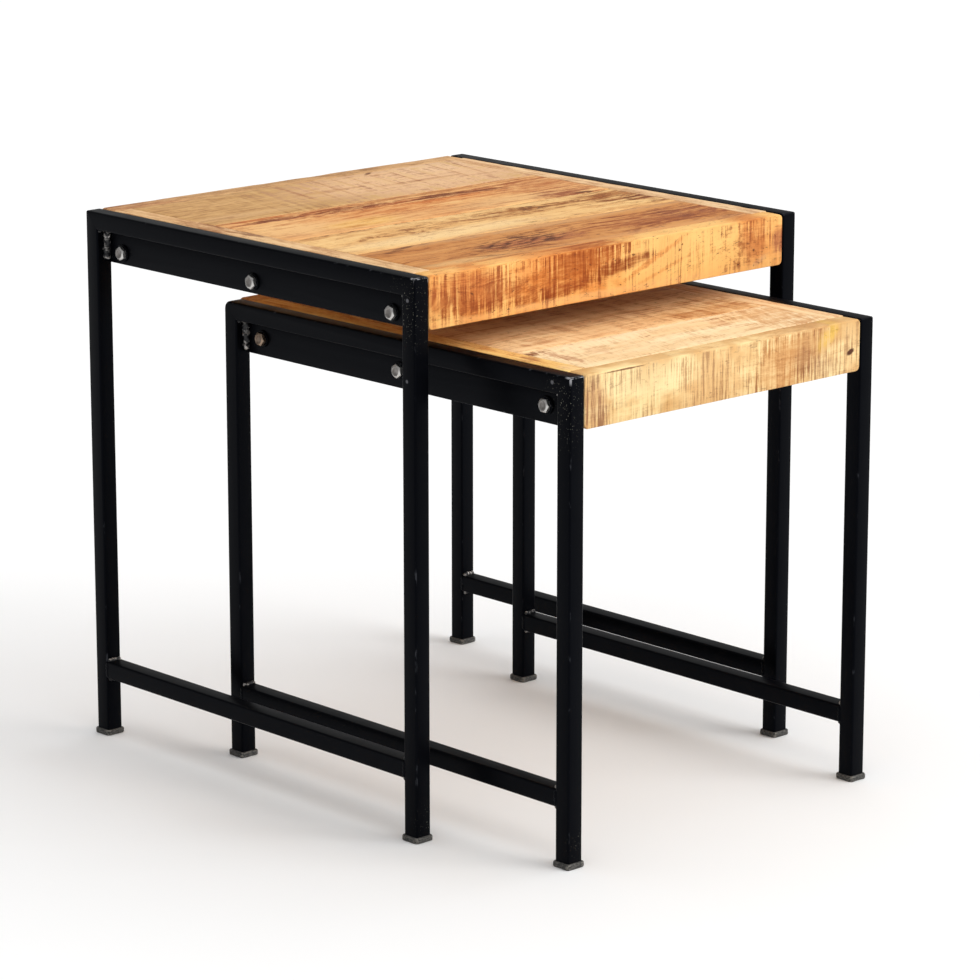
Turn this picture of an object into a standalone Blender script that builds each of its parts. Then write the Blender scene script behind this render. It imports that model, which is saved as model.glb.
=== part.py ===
"""A pair of nesting side tables: the smaller one stands part way out from under the larger one.

Each table is two welded frames of square steel tube with a thick-edged wooden top bolted between
them. Units are metres, +Z is up and the front is towards -Y. The origin is on the floor, at the
centre of the pair as they stand. The smaller table slides along Y.
"""

import math
from typing import NamedTuple

import bmesh
import bpy


class Table(NamedTuple):
    """The measures in which the two tables differ."""

    name: str
    width: float  # over the two frames, along X
    depth: float  # over a frame's two legs, along Y
    height: float
    centre_y: float
    stretcher_z: float  # floor to the underside of the low stretcher
    bolt_drop: float  # table top to the bolts' centre line
    planks: tuple  # widths of the planks, rear to front; the last one takes what is left
    bolt_turns: tuple  # how far each bolt head is turned from a corner up, in degrees, rear to front


# Driving dimensions
PULL = 0.140  # how far the smaller table is drawn out from the nested place
GAP = 0.0003  # left between pieces that touch
TUBE = 0.0165  # outside of the square tube
TUBE_WALL = 0.0015
TUBE_CORNER = 0.0018  # outer corner radius of the tube
FOOT_SIDE = 0.0205
FOOT_THICK = 0.0050
FOOT_PLUG_LENGTH = 0.012
BAR_HEIGHT = 0.030  # flat bar welded under each top rail
BAR_THICK = 0.005
TOP_THICK = TUBE + BAR_HEIGHT + 0.0005  # the rim boards end level with the flat bar
RIM_THICK = 0.020
PLANK_THICK = 0.022
TOP_CLEARANCE = 0.0005  # between the wood and the steel
EDGE_ROUND = 0.004  # sanded ends of the front and rear rim boards
ARRIS = 0.0008  # broken edge on the other wood
BOLT_REACH = 0.185  # middle bolt to an end bolt
BOLT_RADIUS = 0.003
BOLT_HOLE_RADIUS = 0.0035
BOLT_LENGTH = 0.0195  # under the washer
HEAD_FLATS = 0.0112  # across the flats
HEAD_HEIGHT = 0.0041
HEAD_CHAMFER = math.tan(math.radians(30))
WASHER_RADIUS = 0.008
WASHER_THICK = 0.0014
RING_SIDES = 12  # facets round a bolt

LARGE = Table("large", 0.470, 0.450, 0.500, PULL / 2, 0.056, 0.036, (0.120, 0.105, 0.088), (35, 22, 18))
SMALL = Table("small", 0.375, 0.450, 0.430, -PULL / 2, 0.053, 0.031, (0.108, 0.103, 0.118), (10, 26, 2))

SIDES = (("left", -1), ("right", 1))
ENDS = (("rear", 1), ("front", -1))


def clear_scene():
    for obj in list(bpy.data.objects):
        bpy.data.objects.remove(obj, do_unlink=True)


def finish(name, colour, roughness, metallic=0.0):
    made = bpy.data.materials.new(name)
    made.use_nodes = True
    shader = made.node_tree.nodes["Principled BSDF"]
    shader.inputs["Base Color"].default_value = (*colour, 1.0)
    shader.inputs["Roughness"].default_value = roughness
    shader.inputs["Metallic"].default_value = metallic
    return made


def add_piece(name, mesh, made_of, parent, location, rotation=(0, 0, 0)):
    """A new object of the mesh, hung on its table's empty."""
    if isinstance(mesh, bmesh.types.BMesh):
        bmesh.ops.recalc_face_normals(mesh, faces=mesh.faces)
        shape = bpy.data.meshes.new(name)
        mesh.to_mesh(shape)
        mesh.free()
        shape.materials.append(made_of)
    else:
        shape = mesh
    piece = bpy.data.objects.new(name, shape)
    bpy.context.scene.collection.objects.link(piece)
    piece.parent = parent
    piece.location = location
    piece.rotation_mode = "ZYX"
    piece.rotation_euler = rotation
    return piece


# Shapes


def block(size, radius=0.0, segments=1, along="XYZ"):
    """A box on the origin with the edges that run along the named axes rounded."""
    bm = bmesh.new()
    bmesh.ops.create_cube(bm, size=1.0)
    bmesh.ops.scale(bm, vec=size, verts=bm.verts)
    if radius:
        axes = ["XYZ".index(letter) for letter in along]
        edges = [
            edge
            for edge in bm.edges
            if any(abs(edge.verts[0].co[axis] - edge.verts[1].co[axis]) > radius for axis in axes)
        ]
        bmesh.ops.bevel(
            bm, geom=edges, offset=radius, segments=segments, profile=0.5, affect="EDGES", material=-1
        )
    return bm


def square_tube(length, mitre_low=0, mitre_high=0):
    """Hollow tube along Z. A mitre of 1 or -1 cuts that end at 45 degrees, long on the +Y or -Y side."""
    bm = block((TUBE, TUBE, length), TUBE_CORNER, 2, along="Z")
    ends = [face for face in bm.faces if abs(face.normal.z) > 0.99]
    bmesh.ops.inset_individual(bm, faces=ends, thickness=TUBE_WALL, use_even_offset=True)
    bmesh.ops.delete(bm, geom=ends, context="FACES_ONLY")
    bmesh.ops.bridge_loops(bm, edges=[edge for edge in bm.edges if edge.is_boundary])
    for vert in bm.verts:
        end, mitre = (1, mitre_high) if vert.co.z > 0 else (-1, mitre_low)
        vert.co.z += end * (mitre * vert.co.y - abs(mitre) * TUBE / 2)
    return bm


def foot_shape():
    """A pad with softened edges and a plug on top that pushes up into the leg."""
    bm = block((FOOT_SIDE, FOOT_SIDE, FOOT_THICK), 0.0025, 2, along="Z")
    rim = [edge for edge in bm.edges if abs(edge.verts[0].co.z - edge.verts[1].co.z) < 1e-6]
    bmesh.ops.bevel(bm, geom=rim, offset=0.0009, segments=1, profile=0.5, affect="EDGES", material=-1)
    top = max(bm.faces, key=lambda face: face.calc_center_median().z)
    plug_side = TUBE - 2 * TUBE_WALL - 2 * GAP
    shrink = plug_side / (max(vert.co.x for vert in top.verts) * 2)
    for scale, rise in ((shrink, 0.0), (1.0, FOOT_PLUG_LENGTH)):
        top = bmesh.ops.extrude_discrete_faces(bm, faces=[top])["faces"][0]
        bmesh.ops.scale(bm, vec=(scale, scale, 1.0), verts=top.verts)
        bmesh.ops.translate(bm, vec=(0, 0, rise), verts=top.verts)
    bmesh.ops.remove_doubles(bm, verts=bm.verts, dist=1e-6)
    return bm


def bolt_shape(mesh_name, made_of):
    """Hex-head coach bolt with its washer, along Z, the washer's back face at z = 0 and the head above."""
    flat = HEAD_FLATS / 2
    crown = flat * 0.95

    def hexagon(angle):
        return flat / math.cos(angle % (math.pi / 3) - math.pi / 6)

    def head_edge(angle):
        return WASHER_THICK + HEAD_HEIGHT - (hexagon(angle) - crown) * HEAD_CHAMFER

    stations = (
        (lambda a: BOLT_RADIUS, lambda a: 0.0),
        (lambda a: WASHER_RADIUS, lambda a: 0.0),
        (lambda a: WASHER_RADIUS, lambda a: WASHER_THICK),
        (hexagon, lambda a: WASHER_THICK),
        (hexagon, head_edge),
        (lambda a: crown, lambda a: WASHER_THICK + HEAD_HEIGHT),
    )
    bm = bmesh.new()
    tip = bmesh.ops.create_circle(bm, cap_ends=True, radius=BOLT_RADIUS, segments=RING_SIDES)
    bmesh.ops.translate(bm, vec=(0, 0, -BOLT_LENGTH), verts=tip["verts"])
    ring = list(bm.edges)
    for radius, height in stations:
        made = bmesh.ops.extrude_edge_only(bm, edges=ring)["geom"]
        ring = [item for item in made if isinstance(item, bmesh.types.BMEdge)]
        for vert in (item for item in made if isinstance(item, bmesh.types.BMVert)):
            angle = math.atan2(vert.co.y, vert.co.x)
            vert.co = (radius(angle) * math.cos(angle), radius(angle) * math.sin(angle), height(angle))
    bmesh.ops.contextual_create(bm, geom=ring)
    bmesh.ops.recalc_face_normals(bm, faces=bm.faces)
    shape = bpy.data.meshes.new(mesh_name)
    bm.to_mesh(shape)
    bm.free()
    shape.materials.append(made_of)
    shape.shade_smooth()
    shape.set_sharp_from_angle(angle=math.radians(35))
    return shape


# Pieces of a table


def add_frame(table, side, sign, paint, origin):
    """One side frame: two legs and a top rail mitred together, a low stretcher and a flat bar."""
    x = sign * (table.width - TUBE) / 2
    foot_top = FOOT_THICK + GAP
    leg_length = table.height - foot_top
    for end, way in ENDS:
        add_piece(
            f"{table.name}_{side}_{end}_leg",
            square_tube(leg_length, mitre_high=way),
            paint,
            origin,
            (x, way * (table.depth - TUBE) / 2, foot_top + leg_length / 2),
        )
    add_piece(
        f"{table.name}_{side}_top_rail",
        square_tube(table.depth - 2 * math.sqrt(2) * GAP, -1, -1),
        paint,
        origin,
        (x, 0, table.height - TUBE / 2),
        (-math.pi / 2, 0, 0),
    )
    between_legs = table.depth - 2 * (TUBE + GAP)
    add_piece(
        f"{table.name}_{side}_stretcher",
        square_tube(between_legs),
        paint,
        origin,
        (x, 0, table.stretcher_z + TUBE / 2),
        (-math.pi / 2, 0, 0),
    )
    bar_x = sign * (table.width / 2 - TUBE + BAR_THICK / 2)
    bar_z = table.height - TUBE - GAP - BAR_HEIGHT / 2
    return add_piece(
        f"{table.name}_{side}_flat_bar",
        block((BAR_THICK, between_legs, BAR_HEIGHT)),
        paint,
        origin,
        (bar_x, 0, bar_z),
    )


def add_feet(table, side, sign, rubber, origin):
    for end, way in ENDS:
        x = sign * (table.width - TUBE) / 2
        y = way * (table.depth - TUBE) / 2
        name = f"{table.name}_{side}_{end}_foot"
        add_piece(name, foot_shape(), rubber, origin, (x, y, FOOT_THICK / 2))


def add_top(table, woods, origin):
    """A rim of four deep boards round a field of thinner planks. Returns the two side boards."""
    length = table.width - 2 * (TUBE + TOP_CLEARANCE)
    depth = table.depth - 2 * TOP_CLEARANCE
    rim_z = table.height - TOP_THICK / 2
    for end, way in ENDS:
        add_piece(
            f"{table.name}_{end}_rim_board",
            block((length, RIM_THICK, TOP_THICK), EDGE_ROUND, 2, along="Y"),
            woods[end],
            origin,
            (0, way * (depth - RIM_THICK) / 2, rim_z),
        )
    field_depth = depth - 2 * RIM_THICK
    boards = {}
    for side, sign in SIDES:
        boards[side] = add_piece(
            f"{table.name}_{side}_rim_board",
            block((RIM_THICK, field_depth - 2 * GAP, TOP_THICK), ARRIS, 1, along="Y"),
            woods[side],
            origin,
            (sign * (length - RIM_THICK) / 2, 0, rim_z),
        )
    rear = field_depth / 2
    widths = (*table.planks, field_depth - sum(table.planks))
    for number, width in enumerate(widths, 1):
        add_piece(
            f"{table.name}_plank_{number}",
            block((length - 2 * (RIM_THICK + GAP), width - 2 * GAP, PLANK_THICK), ARRIS, 1, along="X"),
            woods[number],
            origin,
            (0, rear - width / 2, table.height - PLANK_THICK / 2),
        )
        rear -= width
    return boards


def add_bolts(table, side, sign, bolt, drilled, origin):
    """Three bolts through the flat bar into the side board, and the holes they go in."""
    seat_x = sign * (table.width / 2 - TUBE + BAR_THICK + GAP)
    z = table.height - table.bolt_drop
    places = ((1, "rear"), (0, "middle"), (-1, "front"))
    for (way, place), turn in zip(places, table.bolt_turns):
        y = way * BOLT_REACH
        name = f"{table.name}_{side}_{place}_bolt"
        facing = (0, sign * math.pi / 2, math.radians(turn))
        add_piece(name, bolt, None, origin, (seat_x, y, z), facing)
        hole = bmesh.new()
        bmesh.ops.create_cone(
            hole,
            cap_ends=True,
            segments=RING_SIDES,
            radius1=BOLT_HOLE_RADIUS,
            radius2=BOLT_HOLE_RADIUS,
            depth=2 * (BOLT_LENGTH + 2 * GAP),
        )
        cutter = add_piece(f"{name}_hole", hole, None, origin, (seat_x, y, z), (0, math.pi / 2, 0))
        cutter.hide_render = True
        cutter.display_type = "WIRE"
        for piece in drilled:
            cut = piece.modifiers.new(f"{place}_hole", "BOOLEAN")
            cut.operation = "DIFFERENCE"
            cut.solver = "EXACT"
            cut.object = cutter


def add_table(table, paint, rubber, bolt, woods):
    origin = bpy.data.objects.new(f"{table.name}_table_origin", None)
    bpy.context.scene.collection.objects.link(origin)
    origin.location = (0, table.centre_y, 0)
    boards = add_top(table, woods, origin)
    for side, sign in SIDES:
        bar = add_frame(table, side, sign, paint, origin)
        add_feet(table, side, sign, rubber, origin)
        add_bolts(table, side, sign, bolt, (bar, boards[side]), origin)


def main():
    clear_scene()
    paint = finish("black_paint", (0.012, 0.013, 0.016), 0.45)
    rubber = finish("grey_foot", (0.085, 0.080, 0.072), 0.6)
    steel = finish("zinc_steel", (0.42, 0.40, 0.38), 0.35, 1.0)
    tan = finish("mango_tan", (0.55, 0.36, 0.19), 0.6)
    cream = finish("mango_cream", (0.68, 0.49, 0.29), 0.6)
    orange = finish("mango_orange", (0.52, 0.26, 0.10), 0.6)
    brown = finish("mango_brown", (0.36, 0.17, 0.08), 0.6)
    bolt = bolt_shape("hex_bolt", steel)
    large_woods = {"rear": tan, "front": orange, "left": cream, "right": cream}
    large_woods.update({1: cream, 2: tan, 3: cream, 4: brown})
    small_woods = {"rear": tan, "front": cream, "left": tan, "right": cream}
    small_woods.update({1: cream, 2: tan, 3: tan, 4: cream})
    add_table(LARGE, paint, rubber, bolt, large_woods)
    add_table(SMALL, paint, rubber, bolt, small_woods)


main()
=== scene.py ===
# %% [markdown]
# # A pair of nesting tables
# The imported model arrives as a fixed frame: every node already sits where it belongs, in metres.
# This lesson dresses that frame. It builds finer pieces over the plain solids, writes a finish for
# each of them, and stands them in a small white studio.

# %% Load the frame
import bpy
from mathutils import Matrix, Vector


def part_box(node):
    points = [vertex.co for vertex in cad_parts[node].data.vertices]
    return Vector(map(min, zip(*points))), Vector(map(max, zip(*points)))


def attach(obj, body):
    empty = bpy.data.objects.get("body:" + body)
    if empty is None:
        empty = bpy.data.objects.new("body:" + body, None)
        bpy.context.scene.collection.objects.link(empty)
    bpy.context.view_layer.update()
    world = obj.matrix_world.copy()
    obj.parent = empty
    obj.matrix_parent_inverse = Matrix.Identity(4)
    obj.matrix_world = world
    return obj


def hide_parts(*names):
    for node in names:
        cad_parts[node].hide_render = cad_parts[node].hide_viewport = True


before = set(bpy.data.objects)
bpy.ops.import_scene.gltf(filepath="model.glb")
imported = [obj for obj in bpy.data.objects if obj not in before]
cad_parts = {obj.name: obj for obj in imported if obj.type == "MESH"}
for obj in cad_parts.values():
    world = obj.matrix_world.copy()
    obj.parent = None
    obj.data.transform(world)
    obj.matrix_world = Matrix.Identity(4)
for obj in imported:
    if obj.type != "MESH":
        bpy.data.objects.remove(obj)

# %% [markdown]
# The rest of Blender's modules come in here.
#
# Blender's vector noise starts from the clock unless it is given a seed, so it gets one. The
# pieces then come out the same each time.

# %% Modules, seed and names
import math
from collections import namedtuple

import bmesh
import bpy
from mathutils import Matrix, Vector, noise

noise.seed_set(1)

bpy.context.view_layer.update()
TABLES = ("large", "small")
SIDES = {"left": -1, "right": 1}
ENDS = {"rear": 1, "front": -1}

# %% [markdown]
# ## Studio
# The camera stands at the front left and looks slightly down. A long lens keeps the uprights
# nearly parallel, which is how furniture is usually shown.

# %% Camera
CAMERA_PLACE = (-2.5323, -2.7056, 1.1698)
CAMERA_TURN = -43.07
CAMERA_DROP = 13.95
CAMERA_LENS = 152.7

camera_data = bpy.data.cameras.new("studio_camera")
camera_data.lens = CAMERA_LENS
camera_data.sensor_width = 36.0
camera_data.clip_end = 60.0
camera = bpy.data.objects.new("studio_camera", camera_data)
camera.location = CAMERA_PLACE
camera.rotation_euler = (math.radians(90 - CAMERA_DROP), 0, math.radians(CAMERA_TURN))
bpy.context.collection.objects.link(camera)
bpy.context.scene.camera = camera
print("camera at", CAMERA_PLACE, "with a", CAMERA_LENS, "mm lens")

# %% [markdown]
# Soft light comes from broad sources: one overhead, one from the front right that models the
# edges, and a plain sky. The sky is white to the eye but gives the pieces a dimmer light, so that
# black paint stays black. A sun lamp with a wide angle acts as a big softbox that lights the floor
# evenly however far it runs.

# %% Light
SKY_LIGHT = 0.36
LAMPS = {
    "overhead": (2.10, 100, (0.25, -0.30, 1.0)),
    "front_right": (1.25, 38, (0.55, -1.0, 0.50)),
}

world = bpy.data.worlds.new("studio_sky")
world.use_nodes = True
bpy.context.scene.world = world
sky = world.node_tree
rays = sky.nodes.new("ShaderNodeLightPath")
strength = sky.nodes.new("ShaderNodeMapRange")
strength.inputs["To Min"].default_value = SKY_LIGHT
strength.inputs["To Max"].default_value = 1.0
sky.links.new(rays.outputs["Is Camera Ray"], strength.inputs["Value"])
sky.nodes["Background"].inputs["Color"].default_value = (1, 1, 1, 1)
sky.links.new(strength.outputs["Result"], sky.nodes["Background"].inputs["Strength"])
for lamp, (power, spread, come_from) in LAMPS.items():
    sun = bpy.data.lights.new(lamp, "SUN")
    sun.energy = power
    sun.angle = math.radians(spread)
    stand = bpy.data.objects.new(lamp, sun)
    stand.rotation_euler = Vector(come_from).to_track_quat("Z", "Y").to_euler()
    bpy.context.collection.objects.link(stand)
bpy.context.scene.view_settings.view_transform = "Standard"
print("lamps:", sorted(LAMPS))

# %% [markdown]
# ## Writing a finish
# A finish is a small tree of nodes. Adding nodes by hand is wordy, so this class keeps it short:
# each method adds one node and hands back its output, and any input may be a number or another
# node's output. Everything reads the object's own coordinates, so a pattern stays with its piece.

# %% A short hand for nodes
EDGE_LAYER = "edge"


class Finish:
    """A material while it is being written."""

    def __init__(self, name):
        self.material = bpy.data.materials.new(name)
        self.material.use_nodes = True
        self.tree = self.material.node_tree
        self.shader = self.tree.nodes["Principled BSDF"]
        self.place = self.add("ShaderNodeTexCoord").outputs["Object"]

    def add(self, kind, *values, **settings):
        """Any node; values fill its inputs in order, and None leaves one alone."""
        node = self.tree.nodes.new(kind)
        for name, value in settings.items():
            setattr(node, name, value)
        for socket, value in zip(node.inputs, values):
            self.feed(socket, value)
        return node

    def feed(self, socket, value):
        if isinstance(value, bpy.types.NodeSocket):
            self.tree.links.new(value, socket)
        elif value is not None:
            socket.default_value = value

    def math(self, operation, *values):
        return self.add("ShaderNodeMath", *values, operation=operation).outputs[0]

    def vector(self, operation, *values):
        return self.add("ShaderNodeVectorMath", *values, operation=operation).outputs[0]

    def length(self, vector):
        return self.add("ShaderNodeVectorMath", vector, operation="LENGTH").outputs["Value"]

    def noise(self, place, per_metre, detail=3.0, roughness=0.55):
        """Cloudy noise. per_metre is how many lumps lie along a metre in x, y and z."""
        scaled = self.vector("MULTIPLY", place, per_metre)
        node = self.add("ShaderNodeTexNoise", scaled)
        node.inputs["Scale"].default_value = 1.0
        node.inputs["Detail"].default_value = detail
        node.inputs["Roughness"].default_value = roughness
        return node.outputs[0]

    def edge(self):
        """1 along the middle of a rounded edge and 0 on the faces beside it."""
        return self.add("ShaderNodeAttribute", attribute_name=EDGE_LAYER).outputs["Fac"]

    def step(self, value, start, end, low=0.0, high=1.0):
        """A soft step from low to high as value goes from start to end."""
        node = self.add("ShaderNodeMapRange", value, start, end, low, high)
        node.interpolation_type = "SMOOTHSTEP"
        return node.outputs[0]

    def mix(self, amount, under, over, how="MIX"):
        """One colour laid over another."""
        node = self.add("ShaderNodeMix", data_type="RGBA", blend_type=how)
        self.feed(node.inputs[0], amount)
        self.feed(node.inputs[6], under)
        self.feed(node.inputs[7], over)
        return node.outputs[2]

    def bump(self, height, depth, strength=1.0):
        node = self.add("ShaderNodeBump")
        node.inputs["Strength"].default_value = strength
        node.inputs["Distance"].default_value = depth
        self.feed(node.inputs["Height"], height)
        self.feed(self.shader.inputs["Normal"], node.outputs[0])

    def set(self, **values):
        """Fills the shader's inputs, named with underscores."""
        for name, value in values.items():
            self.feed(self.shader.inputs[name.replace("_", " ")], value)
        return self.material


print("finishes can be written")

# %% [markdown]
# Colours are easier to judge on a screen's scale of 0 to 255, but light adds up in linear values.
# This turns the one into the other.

# %% Colours
def tone(red, green, blue):
    """A colour as mixed on a screen, 0 to 255, in the linear values that a shader works in."""
    shares = [part / 255 for part in (red, green, blue)]
    linear = [s / 12.92 if s <= 0.04045 else ((s + 0.055) / 1.055) ** 2.4 for s in shares]
    return (*linear, 1.0)


print("a mid grey is", [round(part, 3) for part in tone(128, 128, 128)])

# %% [markdown]
# ### Floor
# The floor is matt and nearly white, with a very faint mottle so that it isn't dead flat.

# %% Floor
FLOOR_REACH = 30.0
floor_finish = Finish("pale_floor")
mottle = floor_finish.noise(floor_finish.place, (1.5, 1.5, 1.5))
floor_paint = floor_finish.set(
    Base_Color=floor_finish.mix(mottle, tone(244, 244, 244), tone(250, 250, 250)),
    Roughness=0.9,
    Specular_IOR_Level=0.05,
)
floor_mesh = bpy.data.meshes.new("studio_floor")
bm = bmesh.new()
bmesh.ops.create_grid(bm, x_segments=2, y_segments=2, size=FLOOR_REACH)
bm.to_mesh(floor_mesh)
bm.free()
floor_mesh.materials.append(floor_paint)
floor = bpy.data.objects.new("studio_floor", floor_mesh)
bpy.context.collection.objects.link(floor)
print("floor", 2 * FLOOR_REACH, "m across")

# %% [markdown]
# ### Black paint
# The frames are sprayed satin black. Close to, the paint has a slight orange-peel skin and its
# gloss wanders a little. It is thin on sharp edges, where handling has rubbed it grey, and at the
# front top corner knocks have gone through to the steel. The upper legs carry a few pale flecks of
# overspray and sawdust, and here and there a chip was touched in with a greyer paint. Each of these
# is a colour laid over the black inside a soft ball. The edges come from a number kept on each
# point of the mesh, which is written when the piece is finished.

# %% Black paint
KNOCK_BALL = (0.008, 0.003)
CHIP_BALL = (0.0030, 0.0018)


def ball(finish, centre, reach, core, stray=0.0):
    """1 within core of a point, fading to 0 at reach. stray is added to the distance."""
    away = finish.length(finish.vector("SUBTRACT", finish.place, centre))
    return finish.step(finish.math("ADD", away, stray), reach, core)


def black_paint(name, flecks, knocks, chips):
    """Satin black, worn here and there.

    flecks are (centre, reach) pairs, soft balls in which pale specks show. knocks are corners
    rubbed down to bright steel. chips were touched in with a paler paint.
    """
    paint = Finish(name)
    peel = paint.noise(paint.place, (900, 900, 900), detail=1.0)
    cloud = paint.noise(paint.place, (28, 28, 28))
    ragged = paint.noise(paint.place, (160, 160, 60), detail=4.0)
    on_edge = paint.step(paint.edge(), 0.2, 0.9)
    rubbed = paint.math("MULTIPLY", on_edge, paint.step(ragged, 0.60, 0.70))
    speckle = paint.step(paint.noise(paint.place, (980, 980, 760), detail=1.0), 0.69, 0.74)

    colour = paint.mix(cloud, tone(2, 2, 4), tone(6, 7, 10))
    colour = paint.mix(paint.math("MULTIPLY", rubbed, 0.35), colour, tone(84, 86, 92))
    for centre, reach in flecks:
        near = paint.math("MULTIPLY", ball(paint, centre, reach, reach * 0.2), speckle)
        colour = paint.mix(paint.math("MULTIPLY", near, 0.75), colour, tone(150, 148, 134))
    for centre in knocks:
        knocked = paint.math("MULTIPLY", ball(paint, centre, *KNOCK_BALL), on_edge)
        knocked = paint.math("MULTIPLY", knocked, paint.step(ragged, 0.44, 0.56))
        colour = paint.mix(paint.math("MULTIPLY", knocked, 0.8), colour, tone(170, 170, 174))
    for centre in chips:
        chip = ball(paint, centre, *CHIP_BALL, stray=paint.math("MULTIPLY", ragged, 0.0016))
        colour = paint.mix(paint.math("MULTIPLY", chip, 0.7), colour, tone(112, 112, 116))
    paint.bump(peel, 0.00004, 0.35)
    return paint.set(
        Base_Color=colour,
        Roughness=paint.step(cloud, 0.2, 0.8, 0.28, 0.38),
        Specular_IOR_Level=0.042,
        Specular_Tint=tone(216, 228, 255),
    )


print("a knock reaches", KNOCK_BALL[0] * 1000, "mm and a chip", CHIP_BALL[0] * 1000, "mm")

# %% [markdown]
# Each table gets its own paint, because the wear sits at different places on the two. All of it is
# set out from the left front leg, which stands nearest and is handled most.

# %% Where the paint is worn
UPPER_FLECKS = (0.028, 0.045)
LOWER_FLECKS = (0.015, 0.022)
CORNER_INSET = 0.001
CHIPS = {"large": ((0.009, 0.020), (0.010, 0.090)), "small": ((0.022, 0.007),)}
paints = {}
for table in TABLES:
    low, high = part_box(f"{table}_left_front_leg")
    drop, upper_reach = UPPER_FLECKS
    rise, lower_reach = LOWER_FLECKS
    flecks = [
        (Vector((low.x, low.y, high.z - drop)), upper_reach),
        (Vector((high.x, low.y, low.z + rise)), lower_reach),
    ]
    knocks = [Vector((x, low.y, high.z)) for x in (low.x + CORNER_INSET, high.x - CORNER_INSET)]
    chips = [Vector((low.x, low.y + back, high.z - down)) for back, down in CHIPS[table]]
    paints[table] = black_paint(f"{table}_black_paint", flecks, knocks, chips)
print("paints:", [paint.name for paint in paints.values()])

# %% [markdown]
# ### Weld metal, zinc and foot pads
# The weld beads were painted with the frame, but the paint barely holds on their crests, so bare
# metal glints through. The bolts are zinc plated and a little dull. Their bevelled corners carry a
# painted highlight: a tone brighter than the face, standing in for the light they catch, so the
# slope of the surface picks the colour. The foot pads are grey moulded plastic, scuffed paler where
# they have been dragged.

# %% Weld, zinc and pad finishes
def weld_metal():
    weld = Finish("painted_weld")
    bend = weld.add("ShaderNodeNewGeometry").outputs["Pointiness"]
    patch = weld.noise(weld.place, (230, 230, 230), detail=3.0)
    bare = weld.math("MULTIPLY", weld.step(bend, 0.50, 0.56), weld.step(patch, 0.48, 0.60))
    grit = weld.noise(weld.place, (1500, 1500, 1500), detail=2.0)
    weld.bump(grit, 0.0001, 0.5)
    return weld.set(
        Base_Color=weld.mix(bare, tone(26, 26, 29), tone(176, 172, 168)),
        Metallic=weld.math("MULTIPLY", bare, 0.85),
        Roughness=weld.step(patch, 0.3, 0.7, 0.28, 0.45),
        Specular_IOR_Level=0.3,
    )


def zinc_steel(name, clean, stained, chamfer_highlight):
    """A plated bolt: its flat face in two mottled tones, its bevelled corners in a painted highlight."""
    zinc = Finish(name)
    stain = zinc.noise(zinc.place, (260, 260, 260), detail=4.0)
    turning = zinc.noise(zinc.place, (2500, 900, 900), detail=2.0)
    facing = zinc.add("ShaderNodeSeparateXYZ", zinc.add("ShaderNodeNewGeometry").outputs["Normal"])
    # slope picks out the bevelled corners, which get the painted highlight colour
    slope = zinc.step(zinc.math("ABSOLUTE", facing.outputs[0]), 0.985, 0.90)
    colour = zinc.mix(zinc.step(stain, 0.35, 0.7), clean, stained)
    zinc.bump(turning, 0.00002, 0.25)
    return zinc.set(
        Base_Color=zinc.mix(slope, colour, chamfer_highlight),
        Metallic=0.9,
        Roughness=zinc.step(stain, 0.3, 0.7, 0.30, 0.40),
    )


def pad_plastic():
    pad = Finish("foot_pad_grey")
    scuff = pad.noise(pad.place, (420, 420, 700), detail=4.0)
    grain = pad.noise(pad.place, (1600, 1600, 1600), detail=2.0)
    bend = pad.add("ShaderNodeNewGeometry").outputs["Pointiness"]
    worn = pad.math("MULTIPLY", pad.step(bend, 0.52, 0.60), pad.step(scuff, 0.42, 0.58))
    colour = pad.mix(pad.step(scuff, 0.35, 0.65), tone(48, 48, 47), tone(84, 82, 79))
    pad.bump(grain, 0.00012, 0.6)
    return pad.set(
        Base_Color=pad.mix(worn, colour, tone(152, 147, 138)),
        Roughness=pad.step(scuff, 0.3, 0.7, 0.6, 0.8),
        Specular_IOR_Level=0.3,
    )


weld_finish = weld_metal()
# The third tone of each bolt finish is the painted highlight on its bevelled corners.
zinc_finish = zinc_steel(
    "zinc_steel", clean=tone(126, 122, 119), stained=tone(100, 96, 93), chamfer_highlight=tone(202, 200, 197)
)
browned_finish = zinc_steel(
    "browned_zinc", clean=tone(118, 104, 92), stained=tone(90, 74, 62), chamfer_highlight=tone(150, 130, 112)
)
pad_finish = pad_plastic()
print("metal and plastic finishes ready")

# %% [markdown]
# ### Mango wood
# No two boards of mango match: cream, olive, orange and red-brown heartwood meet in one top. So
# one function writes the wood and each board gets its own colours. First the wood has to know its
# directions: along the grain, to its side, and into the board. The grain is then bent by a slow
# noise, and the saw's path is laid over it at a slant of its own.
#
# Places are measured on the table itself: `across` from the left edge of the top, `back` from its
# rear edge, and on a front or rear board `down` from its upper edge.

# %% Directions on a board
GRAIN_BEND = 0.035


def top_corner(table):
    """The rear left upper corner of a table's wooden top."""
    low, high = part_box(f"{table}_rear_rim_board")
    return Vector((low.x, high.y, high.z))


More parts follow.
